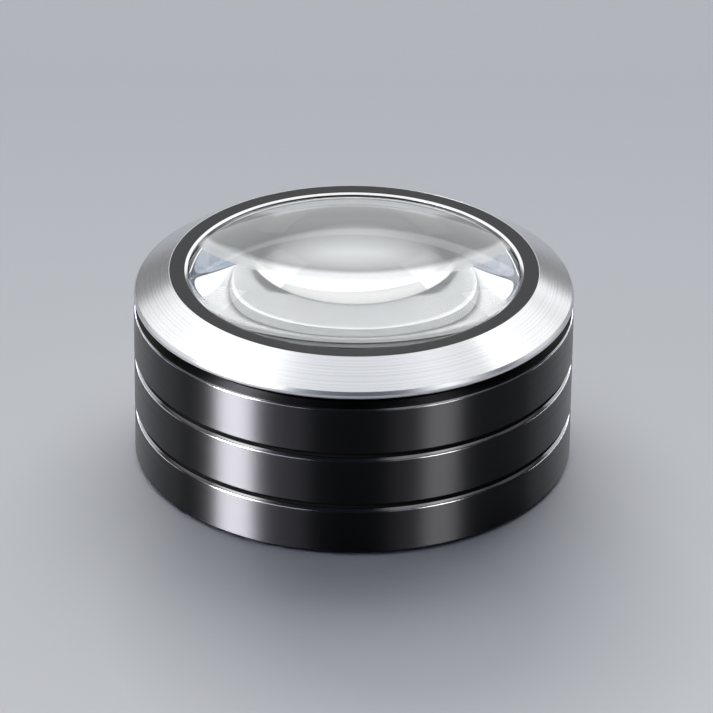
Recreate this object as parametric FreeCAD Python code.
import FreeCAD, Part
import math
import os

# Desktop stand magnifier: a round black case with a sprung silver head that carries the lens.
# Millimetres, +Z up, origin at the centre of the face the foot ring rests on.
# Pressing the head down closes the switch; the bottom cover turns on three bayonet lugs.
# Names: _BOT and _TOP are heights, _R radii, _AZ azimuths in degrees. Outlines are (radius, z).

Vector = FreeCAD.Vector
ORIGIN, UP = Vector(0, 0, 0), Vector(0, 0, 1)
OVERCUT = 1.0            # how far most cutters run past a surface

# Case
CASE_R = 42.5            # outside radius of case and bezel
CASE_BOT, CASE_TOP = 0.5, 31.4
CASE_FOOT_CHAMFER, CASE_TOP_CHAMFER, CASE_BORE_CHAMFER = 0.4, 0.55, 0.3
CASE_BORE_R = 39.0
GROOVE_DEPTH = 0.86      # 45 degree V grooves with a narrow flat floor
GROOVE_FLAT = 0.48
GROOVE_TOPS = (11.2, 22.1)       # upper edge of each groove, lowest groove first
DECK_BOT, DECK_TOP = 16.6, 18.4  # deck reaching inward from the case wall
DECK_R = 33.6

# Cover, bayonet and foot
COVER_SEAT_R, COVER_SEAT_TOP = 40.6, 3.0
COVER_BORE_R = 30.6
COVER_NECK_R, COVER_NECK_TOP = 38.9, 5.2
BAYONET_R, BAYONET_BOT, BAYONET_TOP = 40.0, 4.1, 5.5
BAYONET_TURN = 25.0      # degrees from locked to the entry slots
LUG_AZ = (0.0, 120.0, 240.0)
LUG_R, LUG_BOT = 39.85, 4.2
LUG_HALF = 7.0           # half width of a lug, degrees
FINGER_SLOT_AZ = (90.0, 270.0)
FOOT_R_IN, FOOT_R_OUT, FOOT_TOP = 33.0, 38.0, 1.0
FOOT_CHAMFER = 0.25

# Reflector, board and lamps
REFL_BOT_R, REFL_TOP_R = 29.5, 34.4
REFL_BOT, REFL_TOP = 1.0, 27.4
REFL_WALL = 0.7          # measured radially
REFL_FLANGE_R, REFL_FLANGE_T = 35.6, 0.8
LOW_FLANGE_TOP = DECK_TOP + REFL_FLANGE_T
BOARD_R_IN, BOARD_R_OUT = 33.0, 35.7
BOARD_BOT = REFL_TOP + REFL_FLANGE_T
BOARD_TOP = BOARD_BOT + 0.8
LED_AZ = (30.0, 150.0, 270.0)
LED_HEIGHT = 0.8
RESISTOR_OFFSET = 12     # degrees round from each lamp
RESISTOR_HEIGHT = 0.45

# Battery carrier, cells and contacts
CARRIER_R_IN, CARRIER_R_OUT, CARRIER_BOT = 33.4, 38.8, 5.6
CELL_DIAMETER, CELL_T = 12.5, 2.0
CELL_CAP_T = CELL_T * 0.2
CELL_BOT = 3.25
CELL_R = 35.0            # radius of the middle plane of a cell
CELL_R_IN, CELL_R_OUT = CELL_R - CELL_T / 2, CELL_R + CELL_T / 2
CELL_AZ = (212.0, 238.0)
POCKET_TOP = 15.9
CONTACT_BOT, CONTACT_TOP = 6.5, 14.5
INNER_CONTACT_T, OUTER_CONTACT_T = 0.2, 0.15
OUTER_CONTACT_GAP = 0.5  # from the cell to the pocket wall

# Switch and wires
SWITCH_R, SWITCH_AZ = 37.2, 105.0
SWITCH_BOT, SWITCH_HEIGHT = 11.5, 3.6
PLUNGER_R, PLUNGER_BORE_R = 0.95, 1.0
WIRE_R, WIRE_AZ = 35.45, (193.5, 196.5)
WIRE_BOT = 12.6
WIRE_RADIUS, WIRE_HOLE_R = 0.25, 0.4

# Screws, bushings and return springs
POST_R = 37.4            # circle of the shoulder screws and return springs
SHOULDER_AZ = (30.0, 150.0, 270.0)
SHOULDER_HEAD_TOP = DECK_BOT - 0.05
BUSHING_R, BUSHING_BORE_R = 1.4, 1.05
THREAD_R = 0.8           # of the shoulder and carrier screws
CARRIER_SCREW_R, CARRIER_SCREW_AZ = 35.6, (60.0, 180.0, 300.0)
CARRIER_SCREW_SEAT = CARRIER_BOT + 1.1
REFL_SCREW_R, REFL_SCREW_AZ = 34.75, (0.0, 120.0, 240.0)
REFL_THREAD_R = 0.6
SPRING_AZ = (90.0, 210.0, 330.0)
SPRING_BOT, SPRING_TOP = DECK_TOP - 0.5, 25.4
SPRING_BORE_R = 1.0
SPRING_WIRE_R, COIL_R, SPRING_TURNS = 0.13, 0.75, 8

# Head
HEAD_GAP = 2.0           # between the case rim and the bezel
BEZEL_BOT = CASE_TOP + HEAD_GAP
BEZEL_LIP_TOP = 34.8     # top of the vertical lip
BEZEL_TOP = 39.0
BEZEL_BORE_R = 33.1
BEZEL_LAND_R = 36.0
TRIM_R_OUT, TRIM_R_IN = 35.6, 32.45
TRIM_LIP_BOT, TRIM_TOP = 38.35, BEZEL_TOP - 0.03
GASKET_R_IN, GASKET_BOT = 33.15, 34.5
SKIRT_BOT = 19.6
SKIRT_R_OUT, SKIRT_R_IN = 38.6, 35.9
SPIGOT_R_IN, SPIGOT_R_OUT, SPIGOT_TOP = 36.6, 38.0, 35.0
SKIRT_LAND_R, SKIRT_LAND_TOP = 38.9, 25.6   # lower land that runs in the case bore
BAND_R_IN, BAND_R_OUT = 38.1, 38.95
BAND_BOT, BAND_TOP = 28.4, 30.6

# Lens
LENS_R = 35.0            # over the mounting flange
LENS_DOME_R = 33.0       # edge of the curved faces
FLANGE_BOT, FLANGE_TOP = 35.0, 37.65
LENS_DOME_EDGE = 37.97   # height of the upper curved face at its edge
LENS_TOP_SPHERE_R, LENS_BOT_SPHERE_R = 76.0, 70.0
TRIM_SEAT = FLANGE_TOP


# ---------------------------------------------------------------- helpers
def outline_face(outline, y=0):
    """Face in a plane of constant y from a closed (radius, z) outline."""
    points = [Vector(radius, y, z) for radius, z in outline]
    return Part.Face(Part.makePolygon(points + [points[0]]))


def turned(outline):
    return outline_face(outline).revolve(ORIGIN, UP, 360)


def rectangle(inner_r, outer_r, bottom, top):
    return [(inner_r, bottom), (outer_r, bottom), (outer_r, top), (inner_r, top)]


def place(shape, radius, angle, z):
    """Move a solid built at the origin, with +X outward, to a radius and azimuth."""
    placed = shape.copy()
    placed.translate(Vector(radius, 0, z))
    placed.rotate(ORIGIN, UP, angle)
    return placed


def rod(radius, bottom, top, circle_r, angle):
    return place(Part.makeCylinder(radius, top - bottom), circle_r, angle, bottom)


def rods(radius, bottom, top, circle_r, angles):
    return [rod(radius, bottom, top, circle_r, angle) for angle in angles]


def block(inner_r, outer_r, width, bottom, top, angle):
    """Box lying along a radius, width across it."""
    box = Part.makeBox(outer_r - inner_r, width, top - bottom)
    box.translate(Vector(inner_r, -width / 2, bottom))
    box.rotate(ORIGIN, UP, angle)
    return box


def sector(inner_r, outer_r, bottom, top, angle, half_angle):
    face = outline_face(rectangle(inner_r, outer_r, bottom, top))
    face.rotate(ORIGIN, UP, angle - half_angle)
    return face.revolve(ORIGIN, UP, 2 * half_angle)


def leaves(outline, width, angles):
    """Strips with a (radius, z) outline, width along the tangent."""
    strips = []
    for angle in angles:
        strip = outline_face(outline, -width / 2).extrude(Vector(0, width, 0))
        strip.rotate(ORIGIN, UP, angle)
        strips.append(strip)
    return Part.makeCompound(strips)


def cut_all(shape, tools):
    for tool in tools:
        shape = shape.cut(tool)
    return shape


def slotted_screws(cylinders, slot, circle_r, angles):
    """Screws of (radius, bottom, top) cylinders, head first, and a (width, bottom, top) slot."""
    reach = cylinders[0][0] + 0.2
    screws = []
    for angle in angles:
        screw = rod(*cylinders[0], circle_r, angle)
        for cylinder in cylinders[1:]:
            screw = screw.fuse(rod(*cylinder, circle_r, angle))
        screws.append(screw.cut(block(circle_r - reach, circle_r + reach, *slot, angle)))
    return Part.makeCompound(screws)


# ---------------------------------------------------------------- case, cover and foot
def case_body():
    """Turned tube with a deck and two V grooves."""
    outer = [(CASE_R - CASE_FOOT_CHAMFER, CASE_BOT), (CASE_R, CASE_BOT + CASE_FOOT_CHAMFER)]
    floor_r = CASE_R - GROOVE_DEPTH
    for top in GROOVE_TOPS:
        bottom = top - 2 * GROOVE_DEPTH - GROOVE_FLAT
        outer += [(CASE_R, bottom), (floor_r, bottom + GROOVE_DEPTH),
                  (floor_r, top - GROOVE_DEPTH), (CASE_R, top)]
    outer += [(CASE_R, CASE_TOP - CASE_TOP_CHAMFER), (CASE_R - CASE_TOP_CHAMFER, CASE_TOP)]
    inner = [(CASE_BORE_R + CASE_BORE_CHAMFER, CASE_TOP),
             (CASE_BORE_R, CASE_TOP - CASE_BORE_CHAMFER),
             (CASE_BORE_R, DECK_TOP), (DECK_R, DECK_TOP),
             (DECK_R, DECK_BOT), (CASE_BORE_R, DECK_BOT),
             (CASE_BORE_R, BAYONET_TOP), (BAYONET_R, BAYONET_TOP),
             (BAYONET_R, BAYONET_BOT), (CASE_BORE_R, BAYONET_BOT),
             (CASE_BORE_R, COVER_SEAT_TOP), (COVER_SEAT_R, COVER_SEAT_TOP),
             (COVER_SEAT_R, CASE_BOT)]
    below, above = DECK_BOT - OVERCUT, DECK_TOP + OVERCUT
    tools = rods(BUSHING_R, below, above, POST_R, SHOULDER_AZ)
    tools += rods(SPRING_BORE_R, SPRING_BOT, above, POST_R, SPRING_AZ)
    tools += rods(THREAD_R, below, DECK_TOP - 0.2, CARRIER_SCREW_R, CARRIER_SCREW_AZ)
    tools += rods(REFL_THREAD_R, DECK_BOT + 0.2, above, REFL_SCREW_R, REFL_SCREW_AZ)
    tools += rods(PLUNGER_BORE_R, below, above, SWITCH_R, [SWITCH_AZ])
    tools += rods(WIRE_HOLE_R, below, above, WIRE_R, WIRE_AZ)
    # entry slots for the cover lugs, turned round from the locked place
    tools += [sector(CASE_BORE_R - 0.5, BAYONET_R, COVER_SEAT_TOP - 0.5, BAYONET_BOT + 0.2,
                     angle + BAYONET_TURN, LUG_HALF + 1.2) for angle in LUG_AZ]
    return cut_all(turned(outer + inner), tools)


def screw_bushings():
    outers = rods(BUSHING_R, DECK_BOT, DECK_TOP, POST_R, SHOULDER_AZ)
    bores = rods(BUSHING_BORE_R, DECK_BOT - OVERCUT, DECK_TOP + OVERCUT, POST_R, SHOULDER_AZ)
    return Part.makeCompound([outer.cut(bore) for outer, bore in zip(outers, bores)])


def base_cover():
    """Bottom cover with a foot groove, a neck with bayonet lugs and two finger slots."""
    cover = turned([
        (COVER_BORE_R, CASE_BOT), (FOOT_R_IN, CASE_BOT), (FOOT_R_IN, FOOT_TOP),
        (FOOT_R_OUT, FOOT_TOP), (FOOT_R_OUT, CASE_BOT), (40.2, CASE_BOT), (40.5, 0.8),
        (40.5, 2.95), (COVER_NECK_R, 2.95), (COVER_NECK_R, COVER_NECK_TOP),
        (37.2, COVER_NECK_TOP), (37.2, 2.9), (COVER_BORE_R, 2.9)])
    for angle in LUG_AZ:
        cover = cover.fuse(sector(COVER_NECK_R - 0.3, LUG_R, LUG_BOT, COVER_NECK_TOP,
                                  angle, LUG_HALF))
    return cut_all(cover, [block(38.6, 39.7, 9.0, 0.0, 1.5, angle) for angle in FINGER_SLOT_AZ])


def foot_pad():
    return turned([(FOOT_R_IN, FOOT_CHAMFER), (FOOT_R_IN + FOOT_CHAMFER, 0.0),
                   (FOOT_R_OUT - FOOT_CHAMFER, 0.0), (FOOT_R_OUT, FOOT_CHAMFER),
                   (FOOT_R_OUT, FOOT_TOP), (FOOT_R_IN, FOOT_TOP)])


# ---------------------------------------------------------------- reflector, board and lamps
def reflector_outer_r(z):
    slope = (REFL_TOP_R - REFL_BOT_R) / (REFL_TOP - REFL_BOT)
    return REFL_BOT_R + REFL_WALL + slope * (z - REFL_BOT)


def inner_reflector():
    """Conical liner with a flange on the deck and another under the board."""
    liner = turned([
        (REFL_BOT_R, REFL_BOT), (REFL_TOP_R, REFL_TOP), (REFL_TOP_R, BOARD_BOT),
        (REFL_FLANGE_R, BOARD_BOT), (REFL_FLANGE_R, REFL_TOP),
        (reflector_outer_r(REFL_TOP), REFL_TOP),
        (reflector_outer_r(LOW_FLANGE_TOP), LOW_FLANGE_TOP),
        (REFL_FLANGE_R, LOW_FLANGE_TOP), (REFL_FLANGE_R, DECK_TOP),
        (reflector_outer_r(DECK_TOP), DECK_TOP), (REFL_BOT_R + REFL_WALL, REFL_BOT)])
    below = DECK_TOP - 0.5
    return cut_all(liner,
                   rods(REFL_THREAD_R, below, LOW_FLANGE_TOP + 0.4, REFL_SCREW_R, REFL_SCREW_AZ)
                   + rods(WIRE_HOLE_R, below, BOARD_BOT + 0.5, WIRE_R, WIRE_AZ))


def reflector_screws():
    head_top = LOW_FLANGE_TOP + 0.7
    return slotted_screws([(0.9, LOW_FLANGE_TOP, head_top),
                           (REFL_THREAD_R, DECK_BOT + 0.4, LOW_FLANGE_TOP)],
                          (0.3, head_top - 0.315, head_top + OVERCUT),
                          REFL_SCREW_R, REFL_SCREW_AZ)


def led_board():
    return turned(rectangle(BOARD_R_IN, BOARD_R_OUT, BOARD_BOT, BOARD_TOP))


def led_emitters():
    return Part.makeCompound([block(33.1, 34.2, 2.0, BOARD_BOT - LED_HEIGHT, BOARD_BOT, angle)
                              for angle in LED_AZ])


def led_resistors():
    return Part.makeCompound([block(34.0, 34.8, 1.6, BOARD_TOP, BOARD_TOP + RESISTOR_HEIGHT,
                                    angle + RESISTOR_OFFSET) for angle in LED_AZ])


# ---------------------------------------------------------------- carrier, cells, switch and wires
def battery_carrier():
    below, above = CARRIER_BOT - OVERCUT, DECK_BOT + OVERCUT
    tools = [block(CELL_R_IN - INNER_CONTACT_T, CELL_R_OUT + OUTER_CONTACT_GAP,
                   CELL_DIAMETER + 0.6, below, POCKET_TOP, angle) for angle in CELL_AZ]
    # clearance for the shoulder screw heads
    tools += rods(1.8, DECK_BOT - 3.2, above, POST_R, SHOULDER_AZ)
    tools += rods(THREAD_R, below, above, CARRIER_SCREW_R, CARRIER_SCREW_AZ)
    tools += rods(1.35, below, CARRIER_SCREW_SEAT, CARRIER_SCREW_R, CARRIER_SCREW_AZ)
    tools += [block(35.6, 40.0, 4.2, SWITCH_BOT, above, SWITCH_AZ)]
    tools += rods(WIRE_HOLE_R, WIRE_BOT - 0.2, above, WIRE_R, WIRE_AZ)
    return cut_all(turned(rectangle(CARRIER_R_IN, CARRIER_R_OUT, CARRIER_BOT, DECK_BOT)), tools)


def carrier_screws():
    head_bottom = CARRIER_SCREW_SEAT - 1.0
    return slotted_screws([(1.25, head_bottom, CARRIER_SCREW_SEAT),
                           (THREAD_R, CARRIER_SCREW_SEAT, DECK_TOP - 0.3)],
                          (0.4, head_bottom - OVERCUT, head_bottom + 0.45),
                          CARRIER_SCREW_R, CARRIER_SCREW_AZ)


def coin_cells():
    """Cells standing on edge: wide can outward, slightly smaller cap inward."""
    outward = Vector(1, 0, 0)
    radius = CELL_DIAMETER / 2
    axis_z = CELL_BOT + radius
    cells = []
    for angle in CELL_AZ:
        can = Part.makeCylinder(radius, CELL_T - CELL_CAP_T,
                                Vector(CELL_R_IN + CELL_CAP_T, 0, axis_z), outward)
        cap = Part.makeCylinder(radius - 1.0, CELL_CAP_T, Vector(CELL_R_IN, 0, axis_z), outward)
        cell = can.fuse(cap)
        cell.rotate(ORIGIN, UP, angle)
        cells.append(cell)
    return Part.makeCompound(cells)


def cell_contacts_inner():
    return leaves(rectangle(CELL_R_IN - INNER_CONTACT_T, CELL_R_IN, CONTACT_BOT, CONTACT_TOP),
                  5.0, CELL_AZ)


def cell_contacts_outer():
    """Strips bent inward at mid height to touch the cells."""
    wall_r = CELL_R_OUT + OUTER_CONTACT_GAP
    middle = (CONTACT_BOT + CONTACT_TOP) / 2
    return leaves([(wall_r - OUTER_CONTACT_T, CONTACT_BOT), (wall_r, CONTACT_BOT),
                   (CELL_R_OUT + OUTER_CONTACT_T, middle), (wall_r, CONTACT_TOP),
                   (wall_r - OUTER_CONTACT_T, CONTACT_TOP), (CELL_R_OUT, middle)], 4.0, CELL_AZ)


def switch_housing():
    housing = block(SWITCH_R - 1.5, SWITCH_R + 1.5, 4.0,
                    SWITCH_BOT, SWITCH_BOT + SWITCH_HEIGHT, SWITCH_AZ)
    return housing.cut(rod(PLUNGER_BORE_R, SWITCH_BOT + 1.4, SWITCH_BOT + 5,
                           SWITCH_R, SWITCH_AZ))


def switch_plunger():
    return rod(PLUNGER_R, SWITCH_BOT + 2.7, SKIRT_BOT - 0.05, SWITCH_R, SWITCH_AZ)


def hookup_wires():
    return Part.makeCompound(rods(WIRE_RADIUS, WIRE_BOT, BOARD_BOT, WIRE_R, WIRE_AZ))


# ---------------------------------------------------------------- head
def return_springs():
    """Open helical springs between the deck and blind bores of the skirt."""
    springs = []
    height = SPRING_TOP - SPRING_BOT - 2 * SPRING_WIRE_R
    for angle in SPRING_AZ:
        helix = Part.makeHelix(height / SPRING_TURNS, height, COIL_R)
        circle = Part.makeCircle(SPRING_WIRE_R, Vector(COIL_R, 0, 0), Vector(0, 1, 0))
        coil = Part.Wire(helix.Edges).makePipeShell([Part.Wire([circle])], True, True)
        springs.append(place(coil, POST_R, angle, SPRING_BOT + SPRING_WIRE_R))
    return Part.makeCompound(springs)


def guide_skirt():
    """Sleeve with a lower land, a band groove and a spigot into the bezel."""
    skirt = turned([
        (SKIRT_R_IN, SKIRT_BOT), (SKIRT_LAND_R, SKIRT_BOT), (SKIRT_LAND_R, SKIRT_LAND_TOP),
        (SKIRT_R_OUT, SKIRT_LAND_TOP), (SKIRT_R_OUT, BAND_BOT), (BAND_R_IN, BAND_BOT),
        (BAND_R_IN, BAND_TOP), (SKIRT_R_OUT, BAND_TOP), (SKIRT_R_OUT, BEZEL_BOT),
        (SPIGOT_R_OUT, BEZEL_BOT), (SPIGOT_R_OUT, SPIGOT_TOP), (SPIGOT_R_IN, SPIGOT_TOP),
        (SPIGOT_R_IN, BEZEL_BOT), (SKIRT_R_IN, BEZEL_BOT)])
    below = SKIRT_BOT - OVERCUT
    return cut_all(skirt, rods(SPRING_BORE_R, below, SPRING_TOP, POST_R, SPRING_AZ)
                   + rods(THREAD_R, below, SKIRT_BOT + 4.2, POST_R, SHOULDER_AZ))


def glide_band():
    return turned(rectangle(BAND_R_IN, BAND_R_OUT, BAND_BOT, BAND_TOP))


def shoulder_screws():
    """Head under the deck, plain shoulder through the bushing, thread up into the skirt."""
    head_bottom = SHOULDER_HEAD_TOP - 1.1
    return slotted_screws([(1.5, head_bottom, SHOULDER_HEAD_TOP),
                           (1.0, SHOULDER_HEAD_TOP, SKIRT_BOT),
                           (THREAD_R, SKIRT_BOT, SKIRT_BOT + 4.0)],
                          (0.4, head_bottom - OVERCUT, head_bottom + 0.5), POST_R, SHOULDER_AZ)


def bezel():
    """Conical ring with a lens seat inside and a spigot groove underneath."""
    seat_r = LENS_R + 0.05
    return turned([
        (BEZEL_BORE_R, BEZEL_BOT), (BEZEL_BORE_R, GASKET_BOT), (seat_r, GASKET_BOT),
        (seat_r, TRIM_SEAT), (TRIM_R_OUT, TRIM_SEAT), (TRIM_R_OUT, BEZEL_TOP - 0.06),
        (TRIM_R_OUT + 0.06, BEZEL_TOP), (BEZEL_LAND_R - 0.06, BEZEL_TOP),
        (BEZEL_LAND_R + 0.06, BEZEL_TOP - 0.08), (CASE_R - 0.15, BEZEL_LIP_TOP + 0.10),
        (CASE_R, BEZEL_LIP_TOP - 0.10), (CASE_R, BEZEL_BOT + 0.35),
        (CASE_R - 0.1, BEZEL_BOT + 0.1), (CASE_R - 0.35, BEZEL_BOT),
        (SPIGOT_R_OUT, BEZEL_BOT), (SPIGOT_R_OUT, SPIGOT_TOP),
        (SPIGOT_R_IN, SPIGOT_TOP), (SPIGOT_R_IN, BEZEL_BOT)])


def trim_ring():
    return turned([(TRIM_R_IN, TRIM_LIP_BOT), (GASKET_R_IN, TRIM_LIP_BOT),
                   (GASKET_R_IN, TRIM_SEAT), (TRIM_R_OUT, TRIM_SEAT), (TRIM_R_OUT, TRIM_TOP),
                   (TRIM_R_IN + 0.1, TRIM_TOP), (TRIM_R_IN, TRIM_TOP - 0.1)])


def lens_gasket():
    return turned(rectangle(GASKET_R_IN, LENS_R, GASKET_BOT, FLANGE_BOT))


def dome_points(sphere_r, edge_z, side):
    """Middle and pole of a spherical meridian; side is 1 for domed up, -1 for down."""
    half_angle = math.asin(LENS_DOME_R / sphere_r) / 2
    rise = sphere_r - math.sqrt(sphere_r ** 2 - LENS_DOME_R ** 2)
    pole_z = edge_z + side * rise
    middle_z = pole_z - side * sphere_r * (1 - math.cos(half_angle))
    return Vector(sphere_r * math.sin(half_angle), 0, middle_z), Vector(0, 0, pole_z)


def lens():
    """Biconvex lens with a flat mounting flange."""
    top_middle, top_pole = dome_points(LENS_TOP_SPHERE_R, LENS_DOME_EDGE, 1)
    bottom_middle, bottom_pole = dome_points(LENS_BOT_SPHERE_R, FLANGE_BOT, -1)
    rim = [Vector(radius, 0, z) for radius, z in (
        (LENS_DOME_R, LENS_DOME_EDGE), (LENS_DOME_R, FLANGE_TOP), (LENS_R, FLANGE_TOP),
        (LENS_R, FLANGE_BOT), (LENS_DOME_R, FLANGE_BOT))]
    edges = [Part.Arc(top_pole, top_middle, rim[0]).toShape()]
    edges += [Part.makeLine(start, end) for start, end in zip(rim, rim[1:])]
    edges += [Part.Arc(rim[-1], bottom_middle, bottom_pole).toShape(),
              Part.makeLine(bottom_pole, top_pole)]
    return Part.Face(Part.Wire(edges)).revolve(ORIGIN, UP, 360)


# ---------------------------------------------------------------- each piece is saved by name
PIECES = (
    case_body, screw_bushings, base_cover, foot_pad,
    inner_reflector, reflector_screws, led_board, led_emitters, led_resistors,
    battery_carrier, carrier_screws, coin_cells, cell_contacts_inner, cell_contacts_outer,
    switch_housing, switch_plunger, hookup_wires,
    return_springs, guide_skirt, glide_band, shoulder_screws,
    bezel, trim_ring, lens_gasket, lens,
)

os.makedirs("parts", exist_ok=True)
for build in PIECES:
    piece = build().removeSplitter()
    assert piece.isValid(), build.__name__
    piece.exportStep("parts/%s.step" % build.__name__)
